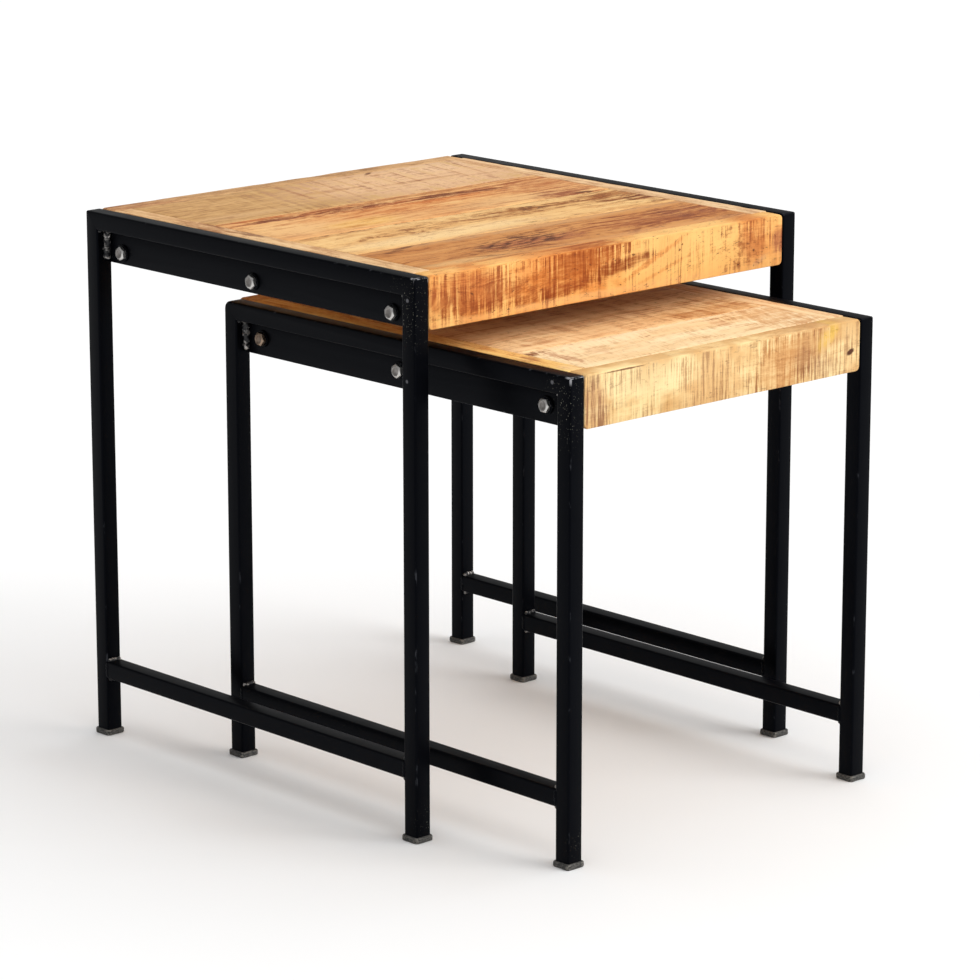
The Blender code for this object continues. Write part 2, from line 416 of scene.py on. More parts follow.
class Wood(Finish):
    """Wood whose grain runs along run: "across", "back" or, on an upright face, "upright"."""

    def __init__(self, name, corner, run, seed, bent, lean):
        super().__init__(name)
        self.upright = run == "upright"
        from_corner = self.vector("SUBTRACT", self.place, corner)
        split = self.add("ShaderNodeSeparateXYZ", self.vector("MULTIPLY", from_corner, (1, -1, -1)))
        self.across, back, self.down = split.outputs
        along, side, deep = {
            "across": (self.across, back, self.down),
            "back": (back, self.across, self.down),
            "upright": (self.across, self.down, back),
        }[run]
        board = self.add("ShaderNodeCombineXYZ", along, side, deep).outputs[0]
        board = self.vector("ADD", board, (seed, seed * 0.37, seed * 0.11))
        wander = self.math("SUBTRACT", self.noise(board, (4, 16, 16), detail=2.0), 0.5)
        bend = self.add("ShaderNodeCombineXYZ", 0.0, self.math("MULTIPLY", wander, GRAIN_BEND * bent))
        self.grain = self.vector("ADD", board, bend.outputs[0])
        slant = self.add("ShaderNodeCombineXYZ", self.math("MULTIPLY", side, lean))
        self.saw_path = self.vector("ADD", self.vector("ADD", board, slant.outputs[0]), (seed, 0, 0))
        height = self.down if self.upright else back
        self.face = self.add("ShaderNodeCombineXYZ", self.across, height).outputs[0]


print("large top starts at", [round(part, 4) for part in top_corner("large")])

# %% [markdown]
# The figure of the wood is noise stretched along the grain: rings, flecks and fine fibres, added up
# into one texture. A board straight from the saw also shows the blade's strokes, which run across
# it in bundles. The stronger they are, the less the finer layers count.

# %% Saw marks and figure
SAW_FADE_IN = 0.08
SAW_DEPTH = 2.8


def saw_marks(wood, saw, pitch, stroke, starts):
    """Strokes of the saw, from starts metres across. pitch is how many lie in a metre."""
    cut = wood.noise(wood.saw_path, (pitch, pitch / stroke, pitch / stroke), detail=4.0, roughness=0.7)
    bundle = wood.step(wood.noise(wood.saw_path, (30, 26, 26), detail=2.0), 0.36, 0.60, 0.25, 1.0)
    marks = wood.math("MULTIPLY", wood.math("SUBTRACT", cut, 0.5), bundle)
    depth = wood.step(wood.across, starts, starts + SAW_FADE_IN, 0.0, SAW_DEPTH * saw)
    marks = wood.math("MULTIPLY", marks, depth)
    if wood.upright:
        marks = wood.math("MULTIPLY", marks, wood.step(wood.down, 0.0005, 0.0025))
    return marks


def figure(wood, sawn, saw, rings, fleck):
    """All the layers added up: about 0 on plain wood, above 0 where it is darker."""
    fibre = wood.noise(wood.grain, (18, 620, 620), detail=4.0, roughness=0.75)
    texture = sawn
    shares = ((rings, 1.0 - 0.75 * saw), (fleck, 0.9 - 0.3 * saw), (fibre, 0.8 - 0.5 * saw))
    for layer, share in shares:
        layer = wood.math("SUBTRACT", layer, 0.5)
        texture = wood.math("ADD", texture, wood.math("MULTIPLY", layer, share))
    return texture


print("saw marks fade in over", SAW_FADE_IN, "m")

# %% [markdown]
# What makes a board itself are its marks, and there are four kinds. A patch is a streak or a stain
# that follows the figure. Crumbs are a patch broken up into dark pores. A knot is a swirl of dark
# lines. A spot is a small knot seen end on. Each is an ellipse on the face of the board, and the
# texture pushes its rim in and out, so that no mark has a drawn outline.

# %% Marks on a board
RIM_OUT = 1.25
RIM_IN = 0.45


def on_mark(wood, centre, reach, tilt=0.0):
    """The face seen from a mark: 0 at its centre and 1 away on its rim."""
    turn = (0, 0, math.radians(tilt))
    node = wood.add(
        "ShaderNodeMapping", wood.face, (*centre, 0), turn, (*reach, 1), vector_type="TEXTURE"
    )
    return node.outputs[0]


def cover(wood, mark, texture, rough, amount):
    """How much of a mark shows: all in its middle, none past its ragged rim."""
    away = wood.math("SUBTRACT", wood.length(mark), wood.math("MULTIPLY", texture, rough))
    return wood.step(away, RIM_OUT, RIM_IN, 0.0, amount)


def lay_patches(wood, colour, texture, patches, contrast, ragged):
    streaky = wood.step(texture, -1.2 * contrast, 0.6 * contrast, 0.25, 1.0)
    for centre, reach, stain, amount, *tilt in patches:
        shown = cover(wood, on_mark(wood, centre, reach, *tilt), texture, ragged, amount)
        colour = wood.mix(wood.math("MULTIPLY", shown, streaky), colour, stain)
    return colour


def lay_crumbs(wood, colour, texture, fine, crumbs):
    crumb = wood.step(wood.math("ADD", fine, wood.math("MULTIPLY", texture, 0.35)), 0.47, 0.62)
    for centre, reach, stain, amount, *tilt in crumbs:
        shown = cover(wood, on_mark(wood, centre, reach, *tilt), texture, 1.7, amount)
        colour = wood.mix(wood.math("MULTIPLY", shown, crumb), colour, stain)
    return colour


def lay_knots(wood, colour, texture, knots):
    for centre, reach, stain, amount, *tilt in knots:
        mark = on_mark(wood, centre, reach, *tilt)
        swirl = wood.math("ADD", wood.length(mark), wood.math("MULTIPLY", texture, 0.7))
        swirl = wood.math("PINGPONG", wood.math("MULTIPLY", swirl, 3.4), 0.5)
        shown = cover(wood, mark, texture, 1.2, amount)
        colour = wood.mix(wood.math("MULTIPLY", shown, wood.step(swirl, 0.24, 0.10)), colour, stain)
    return colour


def lay_spots(wood, colour, fine, spots):
    for centre, reach, stain, amount, *tilt in spots:
        stray = wood.math("MULTIPLY", wood.math("SUBTRACT", fine, 0.5), 1.6)
        away = wood.math("ADD", wood.length(on_mark(wood, centre, reach, *tilt)), stray)
        colour = wood.mix(wood.step(away, 1.15, 0.6, 0.0, amount), colour, stain)
    return colour


print("a mark fades between", RIM_IN, "and", RIM_OUT, "of its reach")

# %% [markdown]
# The whole wood is laid like glazes: the body colour and its paler clouds, the patches, the light
# and shade of the figure, then the crumbs, knots and spots, and last the open pores. The texture
# also drives a very shallow bump, so that the light catches the grain.

# %% Wood
STRONGLY_SAWN = 0.8


def mango(name, corner, run, body, pale, dark, saw=0.0, pitch=330, stroke=22, starts=-1.0, lean=0.0,
          bent=1.0, pores=0.5, contrast=0.24, ragged=1.7, patches=(), crumbs=(), knots=(), spots=(),
          seed=0.0):
    """The wood of one board.

    saw is how strongly the saw's marks show, pitch how many lie in a metre, stroke how many times
    longer than wide they are, starts where they begin and lean how far they slant. bent is how
    much the grain wanders, and a smaller contrast figure is a livelier wood. Patches, crumbs,
    knots and spots are lists of (centre, reach, tone, amount), with a tilt in degrees where the
    mark is turned. ragged is how far a patch's rim strays.
    """
    wood = Wood(name, corner, run, seed, bent, lean)
    round_clouds = wood.upright and saw > STRONGLY_SAWN
    broad = wood.noise(wood.grain, (22, 26, 26) if round_clouds else (6, 34, 34), detail=3.0)
    rings = wood.noise(wood.grain, (8, 140, 140), detail=4.0, roughness=0.75)
    fleck = wood.noise(wood.grain, (52, 120, 120), detail=5.0, roughness=0.8)
    fine = wood.noise(wood.grain, (90, 200, 200), detail=5.0, roughness=0.75)
    dash = wood.noise(wood.grain, (170, 700, 700), detail=2.0)
    pore = wood.math("MULTIPLY", wood.step(dash, 0.61, 0.69), wood.step(fleck, 0.46, 0.58))
    texture = figure(wood, saw_marks(wood, saw, pitch, stroke, starts), saw, rings, fleck)

    colour = wood.mix(wood.step(broad, 0.38, 0.62), body, pale)
    colour = lay_patches(wood, colour, texture, patches, contrast, ragged)
    shade = wood.mix(0.60, colour, dark, "MULTIPLY")
    light = wood.mix(0.45, colour, pale, "SCREEN")
    colour = wood.mix(wood.step(texture, -0.06, contrast, 0.0, 0.95), colour, shade)
    colour = wood.mix(wood.step(texture, 0.0, -contrast, 0.0, 0.55), colour, light)
    colour = lay_crumbs(wood, colour, texture, fine, crumbs)
    colour = lay_knots(wood, colour, texture, knots)
    colour = lay_spots(wood, colour, fine, spots)
    colour = wood.mix(wood.math("MULTIPLY", pore, pores), colour, tone(88, 46, 24))

    relief = wood.math("SUBTRACT", wood.math("MULTIPLY", texture, -1.5), wood.math("MULTIPLY", pore, 0.9))
    wood.bump(relief, 0.00022, 0.6)
    return wood.set(
        Base_Color=colour,
        Roughness=wood.step(rings, 0.3, 0.7, 0.50, 0.62),
        Specular_IOR_Level=0.16,
    )


CREAM = tone(246, 214, 164)
TAN = tone(236, 190, 138)
ORANGE = tone(226, 164, 102)
BROWN = tone(182, 122, 74)
UMBER = tone(128, 76, 42)
BARK = tone(88, 48, 26)
YELLOW = tone(240, 190, 112)
print("a pale board and a dark streak:", [round(part, 2) for part in (*CREAM[:3], *BARK[:3])])

# %% [markdown]
# The larger top, board by board. Plank 1 is at the rear and still shows the saw, whose deepest
# strokes are laid one by one. Plank 2 has the long dark streak, plank 3 the crumbly patches and
# plank 4 the big knot. Each mark is its centre, its reach both ways, its colour and how strongly
# it shows, in metres from the rear left corner.

# %% Wood of the larger table
SAW_LINES = (0.180, 0.202, 0.226, 0.248, 0.268, 0.292, 0.318, 0.346, 0.374, 0.398)
LARGE_WOOD = {
    "plank_1": dict(
        run="across", body=tone(196, 150, 94), pale=tone(206, 160, 104), dark=tone(150, 104, 60), seed=1.3,
        pores=0.3, saw=0.5, pitch=140, stroke=20, starts=0.06, lean=0.2, bent=0.6, contrast=0.20,
        patches=(
            ((0.325, 0.080), (0.160, 0.080), tone(246, 202, 158), 0.95),
            ((0.380, 0.040), (0.060, 0.030), tone(244, 204, 162), 0.7),
            ((0.070, 0.118), (0.080, 0.011), tone(222, 178, 126), 0.7),
            ((0.070, 0.016), (0.050, 0.010), tone(180, 124, 84), 0.7),
            ((0.210, 0.076), (0.045, 0.006), BROWN, 0.5),
            ((0.310, 0.090), (0.060, 0.006), BROWN, 0.4),
            *(((across, 0.070), (0.0024, 0.050), BROWN, 0.55, 12) for across in SAW_LINES),
            ((0.312, 0.020), (0.022, 0.0028), UMBER, 0.95, -38),
            ((0.306, 0.038), (0.006, 0.003), BROWN, 0.7, -20),
            ((0.415, 0.018), (0.006, 0.010), BROWN, 0.6),
        ),
    ),
    "plank_2": dict(
        run="across", body=ORANGE, pale=tone(236, 182, 118), dark=tone(176, 104, 53), seed=4.1, bent=0.7,
        patches=(
            ((0.205, 0.146), (0.190, 0.012), tone(204, 140, 81), 0.75),
            ((0.386, 0.168), (0.060, 0.030), tone(206, 138, 81), 0.8),
            ((0.060, 0.204), (0.060, 0.034), tone(242, 196, 134), 0.9),
            ((0.210, 0.186), (0.140, 0.020), tone(220, 144, 77), 0.75),
            ((0.270, 0.178), (0.070, 0.008), tone(212, 124, 57), 0.75),
            ((0.128, 0.220), (0.045, 0.018), tone(242, 190, 104), 0.85),
            ((0.300, 0.226), (0.070, 0.018), tone(230, 184, 126), 0.8),
            ((0.390, 0.190), (0.058, 0.048), tone(202, 134, 79), 0.85),
            ((0.366, 0.232), (0.030, 0.020), tone(166, 100, 61), 0.90),
            ((0.386, 0.241), (0.010, 0.004), BARK, 0.85),
            ((0.100, 0.132), (0.018, 0.007), tone(176, 92, 41), 0.95),
            ((0.076, 0.142), (0.036, 0.012), tone(206, 120, 55), 0.85),
            ((0.150, 0.160), (0.115, 0.0110), tone(184, 102, 49), 1.0),
            ((0.270, 0.167), (0.090, 0.0095), tone(180, 100, 49), 1.0, 2),
            ((0.080, 0.157), (0.036, 0.0080), tone(112, 46, 16), 1.0),
            ((0.170, 0.159), (0.052, 0.0080), tone(120, 54, 16), 1.0),
            ((0.272, 0.165), (0.036, 0.0080), tone(106, 48, 16), 1.0),
            ((0.316, 0.169), (0.032, 0.0045), tone(130, 68, 31), 1.0, 8),
        ),
        crumbs=(((0.200, 0.160), (0.170, 0.014), tone(140, 70, 27), 0.6),),
    ),
    "plank_3": dict(
        run="across", body=tone(230, 178, 112), pale=tone(242, 196, 130), dark=tone(170, 110, 52), seed=7.7,
        pores=0.7,
        patches=(
            ((0.150, 0.312), (0.150, 0.020), tone(248, 214, 158), 0.85),
            ((0.330, 0.306), (0.080, 0.012), tone(246, 198, 130), 0.8),
            ((0.262, 0.276), (0.062, 0.019), tone(176, 110, 50), 0.95),
            ((0.395, 0.280), (0.040, 0.034), tone(174, 106, 48), 0.95),
            ((0.414, 0.300), (0.014, 0.024), tone(150, 84, 41), 0.9),
        ),
        crumbs=(
            ((0.075, 0.284), (0.036, 0.012), tone(146, 86, 35), 0.85),
            ((0.138, 0.284), (0.024, 0.018), tone(142, 82, 35), 0.85),
            ((0.200, 0.268), (0.060, 0.014), tone(168, 114, 67), 0.7),
            ((0.268, 0.274), (0.050, 0.016), tone(126, 72, 31), 0.85),
            ((0.294, 0.270), (0.020, 0.013), tone(98, 52, 21), 0.85),
            ((0.380, 0.276), (0.055, 0.024), tone(134, 76, 33), 0.85),
            ((0.402, 0.294), (0.034, 0.014), tone(96, 48, 17), 0.85),
            ((0.110, 0.246), (0.100, 0.004), tone(140, 84, 43), 0.95),
            ((0.250, 0.322), (0.050, 0.003), tone(120, 70, 35), 0.95),
            ((0.390, 0.318), (0.020, 0.006), tone(130, 78, 43), 0.8),
        ),
    ),
    "plank_4": dict(
        run="across", body=tone(196, 128, 67), pale=tone(208, 142, 79), dark=tone(140, 80, 35), seed=9.2,
        bent=1.8,
        patches=(
            ((0.250, 0.338), (0.200, 0.010), tone(224, 172, 116), 0.85),
            ((0.345, 0.384), (0.112, 0.032), tone(170, 96, 49), 0.95),
            ((0.366, 0.374), (0.014, 0.028), tone(146, 82, 51), 0.8),
            ((0.396, 0.380), (0.008, 0.026), tone(160, 94, 59), 0.6),
            ((0.180, 0.392), (0.068, 0.020), tone(176, 104, 65), 0.85),
            ((0.062, 0.342), (0.024, 0.0045), tone(126, 72, 35), 0.85, -18),
            ((0.070, 0.418), (0.060, 0.009), tone(232, 184, 122), 0.9),
            ((0.096, 0.414), (0.022, 0.0030), tone(150, 90, 39), 0.9, 14),
            ((0.300, 0.424), (0.160, 0.008), tone(220, 160, 103), 0.8),
            ((0.126, 0.388), (0.016, 0.005), tone(110, 60, 35), 0.85),
            ((0.176, 0.368), (0.009, 0.008), tone(104, 56, 33), 0.9),
            ((0.192, 0.396), (0.014, 0.005), tone(90, 46, 27), 0.95, -24),
            ((0.200, 0.380), (0.030, 0.0035), tone(120, 66, 39), 0.85, -6),
        ),
        knots=(
            ((0.166, 0.386), (0.068, 0.026), tone(88, 42, 19), 1.0, -10),
            ((0.366, 0.378), (0.050, 0.034), tone(136, 74, 45), 0.5),
        ),
    ),
    "rear_rim_board": dict(
        run="upright", body=tone(198, 152, 102), pale=tone(212, 166, 116), dark=tone(136, 86, 48), seed=2.9,
        saw=0.25,
        patches=(((0.040, 0.0), (0.050, 0.020), tone(170, 112, 74), 0.7),),
    ),
    "left_rim_board": dict(
        run="back", body=tone(224, 180, 128), pale=tone(240, 200, 150), dark=tone(160, 106, 60), seed=5.5,
        patches=(
            ((0.010, 0.075), (0.020, 0.075), tone(214, 168, 116), 0.8),
            ((0.008, 0.150), (0.014, 0.040), tone(170, 116, 74), 0.9),
            ((0.016, 0.200), (0.008, 0.020), tone(150, 104, 70), 0.9),
        ),
    ),
    "right_rim_board": dict(
        run="back", body=tone(226, 182, 134), pale=tone(238, 198, 150), dark=tone(164, 112, 66), seed=6.4,
        patches=(((0.430, 0.050), (0.020, 0.040), tone(214, 164, 116), 0.6),),
    ),
    "front_rim_board": dict(
        run="upright", body=tone(230, 154, 80), pale=tone(247, 190, 112), dark=tone(140, 68, 24), seed=8.8,
        saw=0.85, bent=2.2, pores=0.9, contrast=0.36, ragged=1.1,
        patches=(
            ((0.310, 0.022), (0.080, 0.040), tone(252, 202, 124), 0.95),
            ((0.360, 0.034), (0.050, 0.022), tone(250, 194, 114), 0.8),
            ((0.110, 0.008), (0.040, 0.010), tone(246, 174, 98), 0.8),
            ((0.050, 0.022), (0.064, 0.022), tone(194, 108, 52), 0.95),
            ((0.030, 0.026), (0.022, 0.014), tone(176, 96, 44), 0.7),
            ((0.074, 0.026), (0.012, 0.014), tone(166, 86, 40), 0.7),
            ((0.165, 0.016), (0.072, 0.024), tone(202, 114, 46), 1.0, -8),
            ((0.186, 0.010), (0.052, 0.016), tone(170, 86, 28), 0.9, -8),
            ((0.220, 0.022), (0.054, 0.0070), tone(150, 70, 20), 1.0, -9),
            ((0.150, 0.033), (0.044, 0.007), tone(160, 76, 28), 0.9, -4),
            ((0.270, 0.020), (0.050, 0.0030), tone(214, 134, 66), 0.8, -22),
            ((0.280, 0.032), (0.050, 0.0020), tone(220, 146, 78), 0.7, -16),
            ((0.398, 0.018), (0.022, 0.026), tone(190, 106, 48), 0.85),
            ((0.431, 0.024), (0.010, 0.014), tone(168, 92, 58), 0.9),
            ((0.405, 0.040), (0.016, 0.003), tone(214, 168, 124), 0.4, -24),
            ((0.200, 0.043), (0.150, 0.004), tone(248, 190, 122), 0.9),
            ((0.036, 0.044), (0.044, 0.004), tone(244, 176, 106), 0.8),
        ),
        crumbs=(
            ((0.378, 0.022), (0.034, 0.022), tone(150, 78, 32), 0.6),
            ((0.070, 0.026), (0.090, 0.018), tone(140, 62, 24), 0.5),
        ),
    ),
}
print(len(LARGE_WOOD), "boards in the larger top")

# %% [markdown]
# The smaller top is paler: cream sapwood in front, tan behind, with one yellow edge. Its two rear
# planks are hidden until the table is drawn out, so they simply carry on in the same manner. Its
# front board has a small knot seen end on, and a thin dark line just under its upper edge.

# %% Wood of the smaller table
SMALL_WOOD = {
    "plank_1": dict(
        run="across", body=tone(214, 166, 114), pale=tone(230, 186, 134), dark=tone(160, 106, 66), seed=11.3,
        patches=(
            ((0.110, 0.070), (0.070, 0.020), BROWN, 0.6),
            ((0.260, 0.090), (0.060, 0.016), TAN, 0.7),
        ),
    ),
    "plank_2": dict(
        run="across", body=TAN, pale=CREAM, dark=tone(180, 130, 84), seed=12.9, pores=0.7,
        patches=(
            ((0.240, 0.180), (0.050, 0.016), BROWN, 0.6),
            ((0.080, 0.200), (0.060, 0.012), ORANGE, 0.6),
        ),
    ),
    "plank_3": dict(
        run="across", body=tone(232, 184, 128), pale=tone(244, 204, 150), dark=tone(170, 112, 70), seed=14.2,
        saw=0.35, pitch=120, stroke=16,
        patches=(
            # This darker strip along the rear of plank 3 is painted shade: the shadow under the larger
            # table's top.
            ((0.160, 0.300), (0.170, 0.014), tone(206, 156, 106), 0.6),
            ((0.060, 0.328), (0.028, 0.014), tone(204, 150, 102), 0.8),
            ((0.130, 0.340), (0.090, 0.008), tone(236, 184, 128), 0.6),
            ((0.250, 0.334), (0.017, 0.014), tone(180, 118, 76), 0.9),
            ((0.280, 0.330), (0.066, 0.036), tone(200, 140, 82), 0.9),
            ((0.024, 0.345), (0.018, 0.022), tone(248, 214, 164), 0.8),
        ),
    ),
    "plank_4": dict(
        run="across", body=tone(244, 208, 156), pale=tone(252, 226, 180), dark=tone(184, 138, 94), seed=15.8,
        pores=0.3, saw=0.5, pitch=320, stroke=7, lean=0.3, contrast=0.36,
        patches=(
            ((0.300, 0.392), (0.060, 0.054), tone(224, 174, 120), 0.95),
            ((0.036, 0.388), (0.007, 0.034), tone(196, 146, 108), 0.85),
            ((0.027, 0.358), (0.014, 0.005), tone(150, 98, 66), 0.95),
            ((0.076, 0.388), (0.010, 0.016), tone(226, 184, 140), 0.7),
            ((0.236, 0.376), (0.010, 0.016), tone(216, 164, 118), 0.7),
            ((0.238, 0.362), (0.012, 0.003), tone(186, 134, 94), 0.7),
        ),
        crumbs=(
            ((0.150, 0.372), (0.005, 0.008), tone(170, 108, 72), 0.9),
            ((0.196, 0.412), (0.020, 0.005), tone(190, 136, 92), 0.7),
        ),
    ),
    "rear_rim_board": dict(
        run="upright", body=tone(222, 172, 118), pale=tone(240, 196, 142), dark=tone(160, 106, 66),
        seed=16.6, saw=0.3,
    ),
    "left_rim_board": dict(
        run="back", body=YELLOW, pale=tone(250, 210, 132), dark=tone(190, 124, 58), seed=17.1,
        patches=(
            ((0.010, 0.300), (0.014, 0.030), tone(206, 148, 84), 0.7),
            ((0.012, 0.372), (0.014, 0.012), tone(186, 128, 78), 0.9),
            ((0.012, 0.420), (0.010, 0.014), CREAM, 0.6),
        ),
    ),
    "right_rim_board": dict(
        run="back", body=TAN, pale=tone(248, 208, 156), dark=tone(188, 136, 88), seed=18.3,
    ),
    "front_rim_board": dict(
        run="upright", body=tone(216, 168, 106), pale=tone(246, 214, 154), dark=tone(128, 76, 34), seed=19.6,
        saw=1.0, pitch=420, pores=0.4, contrast=0.33, ragged=1.1,
        patches=(
            ((0.080, 0.014), (0.080, 0.016), tone(250, 222, 168), 0.6),
            ((0.012, 0.030), (0.018, 0.022), tone(196, 148, 104), 0.8),
            ((0.160, 0.024), (0.050, 0.030), tone(238, 192, 132), 0.7),
            ((0.278, 0.022), (0.050, 0.034), tone(204, 150, 96), 0.9),
            ((0.236, 0.024), (0.030, 0.034), tone(208, 146, 84), 0.85),
            ((0.270, 0.028), (0.018, 0.016), tone(176, 122, 76), 0.8),
            ((0.300, 0.010), (0.017, 0.008), tone(238, 194, 90), 0.9, -38),
            ((0.298, 0.036), (0.020, 0.012), tone(196, 156, 112), 0.7),
            ((0.328, 0.024), (0.014, 0.026), tone(238, 198, 140), 0.85),
        ),
        spots=(
            ((0.3288, 0.028), (0.0052, 0.0026), tone(84, 46, 26), 1.0, -20),
            ((0.048, 0.0019), (0.026, 0.0009), tone(116, 70, 42), 0.85),
        ),
    ),
}
TOP_WOOD = {"large": LARGE_WOOD, "small": SMALL_WOOD}
wood_finish = {}
for table, boards in TOP_WOOD.items():
    for part, kind in boards.items():
        wood_finish[table, part] = mango(f"{table}_{part}_mango", top_corner(table), **kind)
print(len(wood_finish), "board finishes")

# %% [markdown]
# ## Making pieces
# A few small helpers carry the rest: a box between two corners, a bevel, a Boolean between two
# shapes, and one that turns a finished shape into a piece. That last one counts open edges, marks
# the rounded edges for the paint, smooths the rounds but keeps the corners, and tells the frame
# which body the piece moves with.

# %% Helpers for shapes
SMOOTH_BELOW = math.radians(38)
NARROW = 0.0012
SAME = 1e-5
made = {}


def box_between(low, high):
    shape = bmesh.new()
    bmesh.ops.create_cube(shape, size=1.0)
    bmesh.ops.scale(shape, vec=high - low, verts=shape.verts)
    bmesh.ops.translate(shape, vec=(low + high) / 2, verts=shape.verts)
    return shape


def round_edges(shape, edges, width, steps):
    bmesh.ops.bevel(
        shape, geom=edges, offset=width, offset_type="OFFSET", segments=steps,
        profile=0.5, affect="EDGES", material=-1, clamp_overlap=True,
    )


def as_object(shape, name):
    mesh = bpy.data.meshes.new(name)
    shape.to_mesh(mesh)
    shape.free()
    thing = bpy.data.objects.new(name, mesh)
    bpy.context.collection.objects.link(thing)
    return thing


def combine(first, second, operation):
    """The Boolean of two shapes, which are both used up."""
    base = as_object(first, "boolean_base")
    tool = as_object(second, "boolean_tool")
    modifier = base.modifiers.new("combine", "BOOLEAN")
    modifier.operation = operation
    modifier.solver = "EXACT"
    modifier.object = tool
    result = bmesh.new()
    result.from_object(base, bpy.context.evaluated_depsgraph_get())
    for thing in (base, tool):
        mesh = thing.data
        bpy.data.objects.remove(thing)
        bpy.data.meshes.remove(mesh)
    return result


def mark_edges(shape):
    """Keeps a number on each point: 1 inside a rounded edge, 0 where a wider face begins."""
    layer = shape.verts.layers.float.new(EDGE_LAYER)
    for vert in shape.verts:
        widths = [
            face.calc_area() / max(edge.calc_length() for edge in face.edges)
            for face in vert.link_faces
        ]
        vert[layer] = float(max(widths) < NARROW)


def finish_piece(shape, name, table, material, nodes=()):
    """Makes a finished shape one piece of its table, in place of nodes where it has any."""
    bmesh.ops.recalc_face_normals(shape, faces=shape.faces)
    mark_edges(shape)
    for face in shape.faces:
        face.smooth = True
    for edge in shape.edges:
        edge.smooth = edge.calc_face_angle(0.0) < SMOOTH_BELOW
    made[name] = sum(len(edge.link_faces) != 2 for edge in shape.edges)
    piece = as_object(shape, name)
    piece.data.materials.append(material)
    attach(piece, f"{table}_table")
    if nodes:
        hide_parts(*nodes)
    return piece


print("shapes smooth below", round(math.degrees(SMOOTH_BELOW)), "degrees")

# %% [markdown]
# ## Steel side frames
# Each side of a table is two legs and a top rail of square tube. On the real object the three meet
# in mitres that were welded and ground flush, so no seam shows. Made apart, their rounded edges
# would never quite line up. So the whole arch is made first, as one outline with thickness, its
# edges are rounded together, and only then is it sawn along the mitres into its three tubes. One
# upper corner, at the rear left of the smaller table, was ground to a quarter circle, so the
# outline turns there in a few steps.

# %% One whole arch
TUBE_ROUND = 0.0018
GROUND_ROUND = {("small", "left"): 0.0075}
ARC_STEPS = 7


def arch(table, side):
    """Both legs and the rail of one side in one solid, edges rounded."""
    low, rear_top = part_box(f"{table}_{side}_rear_leg")
    front_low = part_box(f"{table}_{side}_front_leg")[0]
    tube = rear_top.x - low.x
    front, rear, base, top = front_low.y, rear_top.y, low.z, rear_top.z
    ground = GROUND_ROUND.get((table, side), 0.0)
    turns = [math.pi / 2 * (1 - step / ARC_STEPS) for step in range(ARC_STEPS + 1)] if ground else [0.0]
    rear_top_corner = [
        (rear - ground * (1 - math.cos(turn)), top - ground * (1 - math.sin(turn))) for turn in turns
    ]
    outline = (
        (front, base), (front, top), *rear_top_corner, (rear, base),
        (rear - tube, base), (rear - tube, top - tube),
        (front + tube, top - tube), (front + tube, base),
    )
    shape = bmesh.new()
    face = shape.faces.new([shape.verts.new((low.x, y, z)) for y, z in outline])
    raised = bmesh.ops.extrude_face_region(shape, geom=[face])["geom"]
    raised_points = [part for part in raised if isinstance(part, bmesh.types.BMVert)]
    bmesh.ops.translate(shape, vec=(tube, 0, 0), verts=raised_points)
    bmesh.ops.recalc_face_normals(shape, faces=shape.faces)

    def is_long_edge(edge):
        a, b = (v.co for v in edge.verts)
        sharp = not ground or a.y < (front + rear) / 2
        outer_corner = abs(a.z - top) + abs(b.z - top) < SAME and abs(a.x - b.x) > tube / 2 and sharp
        at_foot = abs(a.z - base) + abs(b.z - base) < SAME
        return outer_corner or (abs(a.x - b.x) < SAME and not at_foot)

    round_edges(shape, [edge for edge in shape.edges if is_long_edge(edge)], TUBE_ROUND, 4)
    return shape, tube, Vector((low.x, front, top)), Vector((low.x, rear, top))


print("edges rounded to", TUBE_ROUND * 1000, "mm")

# %% [markdown]
# Sawing is a bisect that throws one side away, and the open cut is then filled. A leg's lower end
# is opened to the tube's wall by two insets, so that the foot's plug has its socket.

# %% Legs and top rails
TUBE_WALL = 0.0015
SOCKET_DEPTH = 0.020
SOCKET_TAPER = 0.0001
PAST_CORNER = 1.2


def saw(shape, point, normal):
    """Takes away what lies on the side that normal points to, and leaves the cut open."""
    everything = shape.verts[:] + shape.edges[:] + shape.faces[:]
    bmesh.ops.bisect_plane(
        shape, geom=everything, dist=1e-7, plane_co=point, plane_no=normal, clear_outer=True
    )


def cap(shape):
    bmesh.ops.holes_fill(shape, edges=[edge for edge in shape.edges if edge.is_boundary], sides=0)


def hollow_foot(shape):
    """Opens the lower end of a leg, so that the foot's plug has its socket."""
    base = min(v.co.z for v in shape.verts)
    end = [f for f in shape.faces if f.normal.z < -0.9 and f.calc_center_median().z < base + SAME]
    bmesh.ops.inset_region(shape, faces=end, thickness=TUBE_WALL, use_even_offset=True)
    bmesh.ops.inset_region(
        shape, faces=end, thickness=SOCKET_TAPER, depth=-SOCKET_DEPTH, use_even_offset=True
    )


for table in TABLES:
    for side in SIDES:
        whole, tube, front_corner, rear_corner = arch(table, side)
        corners = {"front": (front_corner, 1), "rear": (rear_corner, -1)}
        rail = whole.copy()
        saw(rail, front_corner - Vector((0, 0, PAST_CORNER * tube)), (0, 0, -1))
        for corner, inward in corners.values():
            saw(rail, corner, (0, -inward, -1))
        cap(rail)
        node = f"{table}_{side}_top_rail"
        finish_piece(rail, f"{node}_tube", table, paints[table], [node])
        for end, (corner, inward) in corners.items():
            leg = whole.copy()
            saw(leg, corner + Vector((0, inward * PAST_CORNER * tube, 0)), (0, inward, 0))
            saw(leg, corner, (0, inward, 1))
            cap(leg)
            bmesh.ops.recalc_face_normals(leg, faces=leg.faces)
            hollow_foot(leg)
            node = f"{table}_{side}_{end}_leg"
            finish_piece(leg, f"{node}_tube", table, paints[table], [node])
        whole.free()
print(len(made), "tubes, open edges:", sum(made.values()))

